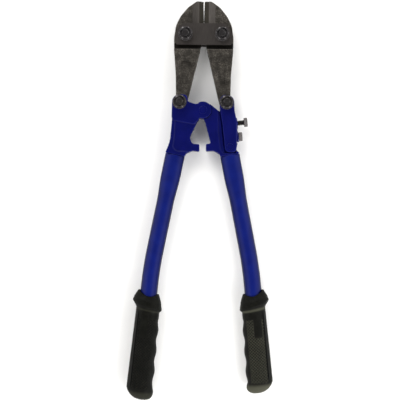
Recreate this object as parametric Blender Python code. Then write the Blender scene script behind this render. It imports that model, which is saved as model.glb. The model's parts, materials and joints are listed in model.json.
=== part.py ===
"""Bolt cutters, 450 mm long: two jaws on a pair of straps, a compound linkage and two tubular handles.

Lengths here are in millimetres. x points right, y towards the jaws and z out of the front face,
all measured from the centre pivot. The finished tool lies flat on its back on the ground.
"""

import math

import bmesh
import bpy
from mathutils import Matrix, Vector

MM = 0.001
GAP = 0.3                      # clearance between touching pieces
SIDES = 20                     # facets round a tube, bolt or hole
CHAMFER = 0.7                  # broken edges of the forgings and straps

# Pivots, right-hand side; the left side mirrors x.
JAW_PIVOT = (20.84, 86.4)
HANDLE_PIVOT = (26.85, 8.8)
CENTRE_PIVOT = (0.0, 0.0)
LUG_PIVOT = (31.3, -41.4)

# Layers, as half thicknesses from the middle plane.
BLADE = 5.0                    # jaws at the straps, jaw tails, tongue of the right arm
PLATE_INNER = 5.3              # inner face of straps, cheeks and lug plates
STRAP_OUTER = 9.3
CHEEK_OUTER = 9.7
LEG_OUTER = 8.8                # jaw legs just below the straps
RIM_OUTER = 9.1                # rim along the left arm's outer edge
PANEL_OUTER = 8.2              # arm walls below the cheeks
RIDGE_OUTER = 7.0
REAR_FACE = 15.0               # backs of the bolt heads, which the tool lies on

# Jaws
TIP_Y = 124.2
EDGE_TIP_X = 0.68              # half of the slit between the cutting edges at their tips
EDGE_X = 0.32                  # the same further down, where the edges run parallel
SHOULDER_Y = 69.3
LEG_TAPER = ((60.0, LEG_OUTER), (22.0, BLADE))
TAIL_RADIUS = 8.4
POCKET_DEPTH = 0.9

# Straps
STRAP_TOP = 98.5
STRAP_BOTTOM = 74.0

# M8 bolts and nuts, M6 screws
BOLT_RADIUS = 4.0
BOLT_HOLE = BOLT_RADIUS + GAP
BOLT_FLATS = 13.0
NUT_HEIGHT = 6.5
WASHER_RADIUS = 8.1
WASHER_HEIGHT = 1.6
BOLT_STICK_OUT = 1.6
SCREW_RADIUS = 2.9
SCREW_HOLE = SCREW_RADIUS + GAP
SCREW_FLATS = 10.0
SCREW_HEAD = 4.0
SCREW_TILT = math.radians(6.0)
ADJUSTING_SCREW_AT = (39.6, -14.1)   # outer face of its boss
LOCKING_SCREW_AT = (41.0, -29.8)
PIN_RADIUS = 4.5

# Arms
DISC_RADIUS = 9.6              # left cheeks round the centre pivot
TONGUE_RADIUS = 9.2
LUG_END_RADIUS = 8.4
CORE_EDGE_X = 29.5             # outer edge of the right arm inside the lug
WEB_X = 30.4                   # inner edge of the web that joins the lug plates
STOP_X = 3.7                   # half of the gap between the stops

# Handle tubes
TUBE_RADIUS = 9.8
TUBE_WALL = 1.6
FLARE = (11.2, 8.0)            # half width and half thickness of the mouth over the arm's shank
TUBE_START = (31.3, -51.0)
TUBE_SLOPE = 0.1985            # sideways run per unit of length, above the bend
TUBE_BEND = (-160.0, -200.0)
GRIP_SLOPE = 0.0975            # the same, below the bend
TUBE_END = -306.0

# Grips
GRIP_SIDES = 22
GRIP_TOP = {-1: -208.2, 1: -206.9}   # by side
GRIP_END = {-1: -330.8, 1: -322.0}
GRIP_SLANT = 0.16              # how much higher the collar is on the outside, per unit of width
GRIP_NOSE = 13.0               # length of the rounded end
GRIP_OFFSET = -1.0             # the sleeve sits towards the inside of the tube's axis
FINGER_PITCH = 23.3
FINGER_FIRST = -251.0


def millimetres(*values):
    return Vector(values) * MM


# ---------------------------------------------------------------- outlines


def arc_at(before, corner, after, radius, step=14.0):
    """Points of the arc that rounds a corner."""
    here = Vector(corner[:2])
    back = (Vector(before[:2]) - here)
    ahead = (Vector(after[:2]) - here)
    half = back.angle(ahead) / 2
    reach = min(radius / math.tan(half), 0.49 * back.length, 0.49 * ahead.length)
    radius = reach * math.tan(half)
    start = here + back.normalized() * reach
    end = here + ahead.normalized() * reach
    centre = here + (back.normalized() + ahead.normalized()).normalized() * (radius / math.sin(half))
    turn = (start - centre).angle_signed(end - centre)
    count = max(1, round(abs(math.degrees(turn)) / step))
    points = []
    for i in range(count + 1):
        spoke = (start - centre).copy()
        spoke.rotate(Matrix.Rotation(-turn * i / count, 2))
        points.append(tuple(centre + spoke))
    return points


def rounded(corners, step=14.0):
    """A closed outline from corners (x, y) or (x, y, radius)."""
    points = []
    for i, corner in enumerate(corners):
        if len(corner) == 2:
            points.append(tuple(corner))
            continue
        before = corners[i - 1]
        after = corners[(i + 1) % len(corners)]
        points += arc_at(before, corner, after, corner[2], step)
    return points


def circle(centre, radius, sides=SIDES):
    x, y = centre
    turns = [2 * math.pi * i / sides for i in range(sides)]
    return [(x + radius * math.cos(a), y + radius * math.sin(a)) for a in turns]


def mirrored(points):
    return [(-p[0], *p[1:]) for p in points]


def sided(points, side):
    """Points given for the right-hand side, moved to the wanted one."""
    return list(points) if side > 0 else mirrored(points)


def at(point, side):
    return (point[0] * side, point[1])


# ---------------------------------------------------------------- solids


def new_object(name, mesh):
    obj = bpy.data.objects.new(name, mesh)
    bpy.context.scene.collection.objects.link(obj)
    return obj


def solid(name, bm):
    bmesh.ops.recalc_face_normals(bm, faces=bm.faces)
    mesh = bpy.data.meshes.new(name)
    bm.to_mesh(mesh)
    bm.free()
    return new_object(name, mesh)


def prism(name, outline, low, high, edge=0.0):
    """An outline extruded from low to high, which are heights or functions of x and y."""
    bm = bmesh.new()

    def height(level, x, y):
        return level(x, y) if callable(level) else level

    floor = [bm.verts.new(millimetres(x, y, height(low, x, y))) for x, y in outline]
    roof = [bm.verts.new(millimetres(x, y, height(high, x, y))) for x, y in outline]
    rims = [bm.faces.new(floor), bm.faces.new(roof)]
    for i in range(len(outline)):
        j = (i + 1) % len(outline)
        bm.faces.new((floor[i], floor[j], roof[j], roof[i]))
    if edge:
        edges = {e for face in rims for e in face.edges}
        bmesh.ops.bevel(bm, geom=list(edges), offset=edge * MM, segments=1, affect="EDGES")
    return solid(name, bm)


def plate(name, outline, thickness, edge=0.0):
    return prism(name, outline, -thickness, thickness, edge)


def place(obj, matrix):
    obj.data.transform(matrix)
    return obj


def frame_along(origin, direction):
    """A matrix that carries +Z onto a direction at a point."""
    turn = Vector(direction).to_track_quat("Z", "X").to_matrix().to_4x4()
    return Matrix.Translation(millimetres(*origin)) @ turn


def rod(name, centre, radius, low, high, sides=SIDES, edge=0.0):
    return prism(name, circle(centre, radius, sides), low, high, edge)


def side_prism(name, profile, low, high):
    """A (y, z) profile extruded along x."""
    turn = Matrix(((0, 0, 1, 0), (1, 0, 0, 0), (0, 1, 0, 0), (0, 0, 0, 1)))
    return place(prism(name, profile, low, high), turn)


def end_prism(name, profile, low, high):
    """An (x, z) profile extruded along y."""
    turn = Matrix(((1, 0, 0, 0), (0, 0, 1, 0), (0, 1, 0, 0), (0, 0, 0, 1)))
    body = place(prism(name, profile, low, high), turn)
    body.data.flip_normals()
    return body


def combine(base, other, operation):
    modifier = base.modifiers.new(operation, "BOOLEAN")
    modifier.operation = operation
    modifier.solver = "EXACT"
    modifier.object = other
    depsgraph = bpy.context.evaluated_depsgraph_get()
    mesh = bpy.data.meshes.new_from_object(base.evaluated_get(depsgraph))
    base.modifiers.clear()
    base.data = mesh
    bpy.data.objects.remove(other, do_unlink=True)
    return base


def join(base, *others):
    for other in others:
        combine(base, other, "UNION")
    return base


def cut(base, *others):
    for other in others:
        combine(base, other, "DIFFERENCE")
    return base


def keep_inside(base, other):
    return combine(base, other, "INTERSECT")


def hexagon(flats):
    return circle((0, 0), flats / 2 / math.cos(math.pi / 6), 6)


def hex_block(name, flats, low, high):
    """A hexagonal head or nut with its corners turned off at both ends."""
    block = prism(name, hexagon(flats), low, high)
    corner = flats / 2 / math.cos(math.pi / 6)
    drop = 0.6
    face = corner - 1.6 * drop
    profile = [(face, low), (corner, low + drop), (corner, high - drop), (face, high)]
    return keep_inside(block, turned("corners", profile))


def turned(name, profile, sides=24):
    """A (radius, z) profile turned about z and closed on the axis."""
    bm = bmesh.new()
    rings = []
    for radius, z in profile:
        ring = circle((0, 0), radius, sides)
        rings.append([bm.verts.new(millimetres(x, y, z)) for x, y in ring])
    skin(bm, rings)
    return solid(name, bm)


def skin(bm, rings, closed=False):
    """Quads between rings; the ends are capped, or joined to each other when closed."""
    sides = len(rings[0])
    pairs = list(zip(rings, rings[1:]))
    if closed:
        pairs.append((rings[-1], rings[0]))
    for lower, upper in pairs:
        for i in range(sides):
            j = (i + 1) % sides
            bm.faces.new((lower[i], lower[j], upper[j], upper[i]))
    if not closed:
        bm.faces.new(rings[0])
        bm.faces.new(rings[-1])


# ---------------------------------------------------------------- jaws and straps


def leg_face(y):
    """Half thickness of a jaw's leg at a height."""
    (top, thick), (bottom, thin) = LEG_TAPER
    share = min(1.0, max(0.0, (y - bottom) / (top - bottom)))
    return thin + (thick - thin) * share


def jaw_outline():
    """Right-hand jaw: blade, leg and the round tail that the handle bolt goes through."""
    x, y = HANDLE_PIVOT
    tail = [(x + TAIL_RADIUS * math.cos(a), y + TAIL_RADIUS * math.sin(a))
            for a in [math.radians(d) for d in range(-150, 61, 15)]]
    return rounded(tail + [
        (31.2, 22.0), (31.5, 40.0, 60), (33.6, 66.0, 40), (34.0, 82.0, 25), (31.9, 96.5, 25),
        (26.6, 107.0, 25), (18.2, 117.2, 22), (8.2, TIP_Y, 5), (EDGE_TIP_X, TIP_Y),
        (EDGE_X, 103.0), (EDGE_X, 84.0), (17.2, 12.6, 3),
    ], 8.0)


def blade_bevels(side):
    """Cutters for the two ground bevels, front and rear, that end just under the strap."""
    slope = [(-1.0, 0.6), (EDGE_X, 0.6), (5.4, 3.1), (13.2, BLADE + 0.05), (13.2, 9.0), (-1.0, 9.0)]
    return [end_prism("bevel", sided([(x, z * face) for x, z in slope], side), 97.3, TIP_Y + 5)
            for face in (1, -1)]


def leg_pockets(side):
    outline = rounded([(25.2, 55.4, 1), (13.9, 55.0, 1), (18.9, 29.3, 1.5), (24.9, 29.3, 1.5)], 30.0)
    outline = sided(outline, side)
    front = prism("pocket", outline, lambda x, y: leg_face(y) - POCKET_DEPTH, 12.0)
    rear = prism("pocket", outline, -12.0, lambda x, y: POCKET_DEPTH - leg_face(y))
    return [front, rear]


def make_jaw(name, side):
    jaw = plate(name, sided(jaw_outline(), side), 12.0)
    front = [(TIP_Y + 1, BLADE), (SHOULDER_Y, BLADE), (SHOULDER_Y, LEG_OUTER), *LEG_TAPER, (-2.0, BLADE)]
    rear = [(y, -z) for y, z in reversed(front)]
    keep_inside(jaw, side_prism("profile", front + rear, -45.0, 45.0))
    cut(jaw, *blade_bevels(side), *leg_pockets(side))
    cut(jaw, rod("hole", at(JAW_PIVOT, side), BOLT_HOLE, -12, 12))
    if side < 0:
        cut(jaw, rod("hole", at(HANDLE_PIVOT, side), BOLT_HOLE, -12, 12))
    else:
        cut(jaw, plate("slot", tail_slot(), 12))
    return jaw


def tail_slot():
    """The open pivot: the right tail is slotted so its bolt can drift sideways."""
    x, y = HANDLE_PIVOT
    half = BOLT_HOLE + 0.5
    reach = 6.7
    return rounded([(x - reach, y - half, half), (x + reach, y - half, half),
                    (x + reach, y + half, half), (x - reach, y + half, half)])


def strap_outline():
    half = [(31.2, STRAP_BOTTOM, 1.5), (32.5, 84.0, 14), (29.6, 93.5, 8), (23.5, STRAP_TOP, 5)]
    return rounded(half + mirrored(half)[::-1], 15.0)


def make_strap(name, face):
    low, high = sorted((PLATE_INNER * face, STRAP_OUTER * face))
    strap = prism(name, strap_outline(), low, high, CHAMFER)
    for side in (-1, 1):
        cut(strap, rod("hole", at(JAW_PIVOT, side), BOLT_HOLE, -12, 12))
    return strap


# ---------------------------------------------------------------- fasteners


def make_bolt(name, centre, seat, end):
    """A hexagon-head bolt with its head at the back, pressed against a rear seat."""
    low = -REAR_FACE
    bolt = hex_block(name, BOLT_FLATS, low, -seat - GAP)
    join(bolt, rod("shank", (0, 0), BOLT_RADIUS, -seat - GAP - 1.0, end, 16, 0.5))
    return place(bolt, Matrix.Translation(millimetres(*centre, 0)))


def make_nut(name, centre, seat):
    nut = hex_block(name, BOLT_FLATS, seat, seat + NUT_HEIGHT)
    cut(nut, rod("hole", (0, 0), BOLT_HOLE, seat - 1, seat + NUT_HEIGHT + 1, 16))
    return place(nut, Matrix.Translation(millimetres(*centre, 0)))


def make_washer(name, centre, seat):
    washer = rod(name, centre, WASHER_RADIUS, seat, seat + WASHER_HEIGHT, 24, 0.3)
    return cut(washer, rod("hole", centre, BOLT_HOLE, seat - 1, seat + WASHER_HEIGHT + 1, 16))


def screw_frame(seat):
    """Where a screw sits: +Z runs out along its axis from the outer face of its boss."""
    return frame_along((*seat, 0.0), (math.cos(SCREW_TILT), math.sin(SCREW_TILT), 0.0))


def make_screw(name, seat, head_at, tip):
    """A hexagon-head screw; head_at and tip are distances from its seat along its axis."""
    screw = hex_block(name, SCREW_FLATS, head_at, head_at + SCREW_HEAD)
    join(screw, rod("shank", (0, 0), SCREW_RADIUS, tip, head_at + 1.0, 16, 0.4))
    return place(screw, screw_frame(seat))


def screw_bore(seat, radius, inner, outer):
    return place(rod("bore", (0, 0), radius, inner, outer, 16), screw_frame(seat))


# ---------------------------------------------------------------- arms and lug


def tail_pocket():
    """The slot in the left arm that the jaw's tail and leg swing through."""
    x, y = at(HANDLE_PIVOT, -1)
    disc = plate("pocket", circle((x, y), TAIL_RADIUS + 0.7), PLATE_INNER)
    sweep = [
        (-33.6, 1.4), (-48.0, 13.2), (-48.0, 30.0), (-8.0, 30.0), (-8.0, 12.0), (-18.0, 9.0), (-22.0, 4.0),
    ]
    return join(disc, plate("sweep", sweep, PLATE_INNER))


def tongue_pocket():
    """The slot in the left arm that the right arm's tongue swings through."""
    disc = plate("pocket", circle(CENTRE_PIVOT, TONGUE_RADIUS + 0.5, 30), PLATE_INNER)
    sweep = [(-0.5, 0.0), (-9.4, 6.4), (-9.4, 20.0), (20.0, 20.0), (20.0, -20.0), (-2.4, -14.0)]
    return join(disc, plate("sweep", sweep, PLATE_INNER))


def shank(side):
    """The tapered end of an arm that fits inside the mouth of its tube."""
    wall = TUBE_WALL + GAP
    wide, thick = FLARE[0] - wall, FLARE[1] - wall
    bm = bmesh.new()
    rings = []
    for along, share in ((-1.0, 1.0), (5.0, 1.0), (17.0, 0.86), (19.0, 0.76)):
        ring = []
        for i in range(SIDES):
            turn = 2 * math.pi * i / SIDES
            across = wide * share * math.cos(turn)
            ring.append(bm.verts.new(tube_point(along, across, thick * share * math.sin(turn), side)))
        rings.append(ring)
    skin(bm, rings)
    return solid("shank", bm)


def arm_collar():
    """Outer and inner corners of an arm where it meets the mouth of its tube."""
    x, y = TUBE_START
    run = Vector((TUBE_SLOPE, -1.0)).normalized()
    mouth = Vector((x, y)) - run * GAP
    square = Vector((-run.y, run.x))
    outer = mouth + square * FLARE[0]
    inner = mouth - square * FLARE[0]
    return outer, inner


def lug_end():
    """Two corners that round to the circle about a handle bolt."""
    x, y = HANDLE_PIVOT
    r = LUG_END_RADIUS
    return [(x - r, y + r, r - 0.02), (x + r, y + r, r - 0.02)]


def left_cheek():
    """Outline of the left arm's cheeks: round the handle bolt, then down to a disc on the centre pivot."""
    disc = [(DISC_RADIUS * math.cos(math.radians(a)), DISC_RADIUS * math.sin(math.radians(a)))
            for a in range(296, 44, -10)]
    return mirrored(rounded([
        (9.2, 6.8, 4), (17.4, 9.3, 3), *lug_end(), (35.7, -8.6), (33.2, -12.0), (9.8, -16.1, 2),
        (5.2, -12.2, 2.5), *disc,
    ], 18.0))


def make_left_arm(name):
    outer, inner = arm_collar()
    body = rounded(mirrored([
        (6.6, -9.0), (35.3, -9.0), (35.4, -14.0, 30), (37.4, -36.0, 30),
        tuple(outer), tuple(inner), (18.6, -49.4, 5), (11.6, -46.6, 6), (STOP_X, -47.4, 1.3),
        (STOP_X, -39.0, 1.3), (12.6, -38.4, 4.5), (14.8, -31.0, 5), (6.6, -14.0),
    ]), 18.0)
    arm = plate(name, body, RIM_OUTER, CHAMFER)
    panel = rounded(mirrored([
        (31.8, -10.2), (32.6, -30.0, 30), (34.4, -43.5, 5), (29.5, -47.4, 5), (17.0, -47.8), (12.0, -56.0),
        (-5.0, -56.0), (-5.0, -10.2),
    ]))
    cut(arm, prism("panel", panel, PANEL_OUTER, 12.0), prism("panel", panel, -12.0, -PANEL_OUTER))
    join(arm, plate("cheek", left_cheek(), CHEEK_OUTER, CHAMFER), shank(-1))
    cut(arm, tail_pocket(), tongue_pocket())
    cut(arm, rod("hole", at(HANDLE_PIVOT, -1), BOLT_HOLE, -12, 12))
    cut(arm, rod("hole", CENTRE_PIVOT, PIN_RADIUS + GAP, -12, 12))
    return arm


def make_right_arm(name):
    outer, inner = arm_collar()
    inner_edge = [
        (19.6, -50.0, 4), (12.7, -46.4, 6), (STOP_X, -47.0, 1.3), (STOP_X, -38.6, 1.3), (9.4, -38.5, 2.5),
        (2.6, -13.2, 2), (0.6, -9.5),
    ]
    core = rounded([
        (4.8, 8.0), (8.8, 6.2), (17.0, -0.3, 2), (CORE_EDGE_X, -4.0, 2), (CORE_EDGE_X, -36.3),
        (40.0, -36.3, 1.5), (38.6, -45.0, 1), tuple(outer), tuple(inner), *inner_edge,
    ], 18.0)
    arm = plate(name, core, BLADE)
    join(arm, plate("tongue", circle(CENTRE_PIVOT, TONGUE_RADIUS, 30), BLADE))
    wing = rounded([
        (5.0, 8.2), (8.8, 6.2), (17.0, -0.3, 2), (17.4, -25.0, 30), (19.9, -44.0, 8), (23.0, -48.9, 3),
        (38.5, -48.9), (38.6, -45.4, 1), tuple(outer), tuple(inner), *inner_edge,
    ], 18.0)
    join(arm, plate("wing", wing, PANEL_OUTER, CHAMFER))
    ridge = rounded([
        (14.0, 0.0), (18.2, -1.2, 1), (20.6, -14.5, 30), (23.6, -40.0, 10), (25.2, -50.0), (14.0, -46.0),
    ], 18.0)
    join(arm, plate("ridge", ridge, RIDGE_OUTER, 0.6), shank(1))
    for face in (-1, 1):
        low, high = sorted((BLADE * face, 12.0 * face))
        cut(arm, prism("recess", circle(CENTRE_PIVOT, DISC_RADIUS + 0.5, 30), low, high))
    cut(arm, rod("hole", CENTRE_PIVOT, PIN_RADIUS + GAP, -12, 12))
    cut(arm, rod("hole", LUG_PIVOT, PIN_RADIUS - 1.0 + GAP, -12, 12))
    cut(arm, screw_bore(LOCKING_SCREW_AT, SCREW_HOLE, -26.0, -6.0))
    return arm


def make_lug(name):
    """The adjusting lug: two plates either side of the right arm, joined by a web outside it."""
    x, y = HANDLE_PIVOT
    outline = rounded([
        (19.3, 2.0, 20), (22.4, -15.9, 60), (24.9, -37.0, 20), (25.8, -47.8, 5.5),
        (37.2, -47.9, 5.5), (38.6, -42.0, 4), (38.6, -22.0, 10), (37.8, -9.0, 10), (35.7, 1.0, 20),
        *lug_end()[::-1],
    ], 18.0)
    lug = plate(name, outline, CHEEK_OUTER, CHAMFER)
    skirt = rounded([
        (32.0, -4.0), (36.4, -4.0, 3), (39.2, -20.0, 4), (41.0, -34.0, 2), (40.0, -35.6, 1), (32.0, -35.6),
    ], 12.0)
    join(lug, plate("skirt", skirt, RIDGE_OUTER, 0.6))
    for seat in (ADJUSTING_SCREW_AT, LOCKING_SCREW_AT):
        join(lug, place(rod("boss", (0, 0), 6.2, -8.0, 0.0, 20, 0.8), screw_frame(seat)))
    slot = [(5, 40), (60, 40), (60, -3.2), (WEB_X, -3.2), (WEB_X, -35.7), (60, -35.7), (60, -70), (5, -70)]
    cut(lug, plate("slot", slot, PLATE_INNER))
    cut(lug, rod("hole", (x, y), BOLT_HOLE, -12, 12))
    cut(lug, rod("hole", LUG_PIVOT, PIN_RADIUS - 1.0 + GAP, -12, 12))
    cut(lug, screw_bore(ADJUSTING_SCREW_AT, SCREW_HOLE, -14.0, 4.0))
    cut(lug, screw_bore(LOCKING_SCREW_AT, SCREW_HOLE + 0.4, -16.0, 4.0))
    return lug


def make_pin(name, centre, radius, reach, dome=0.8):
    """A rivet with a slightly domed head at each end."""
    face = radius - dome
    profile = [(face, -reach), (radius, dome - reach), (radius, reach - dome), (face, reach)]
    return place(turned(name, profile), Matrix.Translation(millimetres(*centre, 0)))


# ---------------------------------------------------------------- handles


def tube_axis(y):
    """Sideways place and slope of a tube's axis: straight, a long bend, then straight again."""
    x, start = TUBE_START
    top, bottom = TUBE_BEND
    if y >= top:
        return x + (start - y) * TUBE_SLOPE, TUBE_SLOPE
    at_top = x + (start - top) * TUBE_SLOPE
    fall = min(top - y, top - bottom)
    change = (GRIP_SLOPE - TUBE_SLOPE) / (top - bottom)
    across = at_top + fall * (TUBE_SLOPE + change * fall / 2)
    return across + max(0.0, bottom - y) * GRIP_SLOPE, TUBE_SLOPE + change * fall


def tube_point(along, across, out, side):
    """A point by its distance down the tube from the mouth, sideways and out of its axis."""
    run = Vector((TUBE_SLOPE, -1.0)).normalized()
    x, slope = tube_axis(TUBE_START[1] + along * run.y)
    if along < 0:
        x = TUBE_START[0] + along * run.x
    y = TUBE_START[1] + along * run.y
    local = Vector((slope, -1.0)).normalized()
    return millimetres(side * (x - across * local.y), y + across * local.x, out)


def tube_section(along):
    """Half width and half thickness of a tube: flared flat at the mouth, round further down."""
    share = min(1.0, max(0.0, (along - 24.0) / 32.0))
    share = share * share * (3 - 2 * share)
    return [FLARE[i] + (TUBE_RADIUS - FLARE[i]) * share for i in (0, 1)]


def make_tube(name, side):
    run = Vector((TUBE_SLOPE, -1.0)).normalized()
    length = (TUBE_START[1] - TUBE_END) / -run.y
    stations = [0.0, 24.0, 32.0, 40.0, 48.0, 56.0, 111.0, 121.0, 131.5, 142.0, 152.0, length]
    bm = bmesh.new()
    rings = []
    for inset, places in ((0.0, stations), (TUBE_WALL, stations[::-1])):
        for along in places:
            wide, thick = [half - inset for half in tube_section(along)]
            ring = []
            for i in range(SIDES):
                turn = 2 * math.pi * i / SIDES
                corner = tube_point(along, wide * math.cos(turn), thick * math.sin(turn), side)
                ring.append(bm.verts.new(corner))
            rings.append(ring)
    skin(bm, rings, closed=True)
    return solid(name, bm)


def grip_section(y, side):
    """Half width inwards, half width outwards and half thickness of a grip at a height."""
    depth = GRIP_TOP[side] - y
    left = max(0.0, y - GRIP_END[side])
    collar = math.exp(-((depth - 15.0) / 7.0) ** 2)
    body = 13.2 + 1.6 * min(1.0, depth / 100.0)
    fingers = 0.7 * math.cos(2 * math.pi * (y - FINGER_FIRST) / FINGER_PITCH) if depth > 30 else 0.0
    inward = body + 2.4 * collar + fingers
    outward = body + 4.9 * collar
    thick = 12.8 + 2.2 * collar
    mouth = min(1.0, 0.84 + 0.16 * depth / 13.0)
    nose = 1 - min(1.0, left / GRIP_NOSE)
    share = mouth * max(0.35, math.sqrt(max(0.0, 1 - nose * nose)))
    return inward * share, outward * share, thick * share


def grip_depths(length):
    body = [0, 4, 8, 12, 16, 20, 25] + [30 + 6 * i for i in range(14)]
    nose = [length - d for d in (GRIP_NOSE, 9.8, 6.8, 4.3, 2.3, 0.8, 0)]
    return [d for d in body if d < nose[0] - 3] + nose


def make_grip(name, side):
    top, end = GRIP_TOP[side], GRIP_END[side]
    bm = bmesh.new()
    rings = []
    for depth in grip_depths(top - end):
        y = top - depth
        lean = max(0.0, (end + GRIP_NOSE - y) / GRIP_NOSE) * 4.5
        offset = GRIP_OFFSET * min(1.0, depth / 18.0) - lean
        slant = GRIP_SLANT * min(1.0, max(0.0, (34.0 - depth) / 18.0))
        rings.append(grip_ring(bm, y, grip_section(y, side), offset, slant, side))
    bore = TUBE_RADIUS + GAP
    inner = [grip_ring(bm, y, (bore, bore, bore), 0.0, slant, side)
             for y, slant in ((top, GRIP_SLANT), (TUBE_END - 1.0, 0.0))]
    skin(bm, rings)
    open_mouth(bm, rings[0], inner)
    return solid(name, bm)


def grip_ring(bm, y, halves, offset, slant, side):
    """A ring of a grip's section, round the tube's axis and leaning along it."""
    inward, outward, thick = halves
    ring = []
    for i in range(GRIP_SIDES):
        turn = 2 * math.pi * i / GRIP_SIDES
        across = math.cos(turn) * (outward if math.cos(turn) > 0 else inward) + offset
        height = y + slant * across
        x, slope = tube_axis(height)
        local = Vector((slope, -1.0)).normalized()
        out = thick * math.sin(turn)
        ring.append(bm.verts.new(millimetres(side * (x - across * local.y), height + across * local.x, out)))
    return ring


def open_mouth(bm, rim, bore):
    """Replaces the cap at a grip's mouth by a blind bore for the tube."""
    cap = [face for face in rim[0].link_faces if len(face.verts) == len(rim)]
    bmesh.ops.delete(bm, geom=cap, context="FACES_ONLY")
    rings = [rim, *bore]
    for outer, inner in zip(rings, rings[1:]):
        for i in range(len(rim)):
            j = (i + 1) % len(rim)
            bm.faces.new((outer[i], outer[j], inner[j], inner[i]))
    bm.faces.new(bore[-1])


# ---------------------------------------------------------------- materials and assembly


MATERIALS = {
    "jaw_steel": ((0.075, 0.068, 0.058), 0.45, 0.8),
    "strap_steel": ((0.10, 0.092, 0.085), 0.38, 0.85),
    "black_oxide": ((0.012, 0.012, 0.013), 0.4, 0.7),
    "blue_paint": ((0.006, 0.010, 0.145), 0.3, 0.1),
    "black_grip": ((0.008, 0.008, 0.007), 0.6, 0.0),
}


def make_materials():
    made = {}
    for name, (colour, roughness, metallic) in MATERIALS.items():
        material = bpy.data.materials.new(name)
        material.use_nodes = True
        shader = material.node_tree.nodes["Principled BSDF"]
        shader.inputs["Base Color"].default_value = (*colour, 1.0)
        shader.inputs["Roughness"].default_value = roughness
        shader.inputs["Metallic"].default_value = metallic
        made[name] = material
    return made


def make_body(name, pivot, parent, parent_pivot=(0.0, 0.0)):
    """An empty on a joint's axis that carries one moving body."""
    empty = bpy.data.objects.new(name, None)
    bpy.context.scene.collection.objects.link(empty)
    empty.empty_display_size = 0.01
    empty.parent = parent
    empty.location = millimetres(pivot[0] - parent_pivot[0], pivot[1] - parent_pivot[1], 0.0)
    return empty


def fit(obj, body, pivot, material):
    """Hangs a piece made in tool coordinates on its body's empty."""
    obj.data.transform(Matrix.Translation(-millimetres(*pivot, 0.0)))
    obj.parent = body
    obj.data.materials.clear()
    obj.data.materials.append(material)
    obj.data.shade_smooth()
    obj.data.set_sharp_from_angle(angle=math.radians(32))


def stand_on_origin(tool):
    """Moves the whole tool so that its box is centred over the origin, with its back on the ground."""
    bpy.context.view_layer.update()
    solids = [obj for obj in bpy.data.objects if obj.type == "MESH"]
    points = [obj.matrix_world @ v.co for obj in solids for v in obj.data.vertices]
    low = [min(p[i] for p in points) for i in range(3)]
    high = [max(p[i] for p in points) for i in range(3)]
    tool.location = (-(low[0] + high[0]) / 2, -(low[1] + high[1]) / 2, -low[2])


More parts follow.
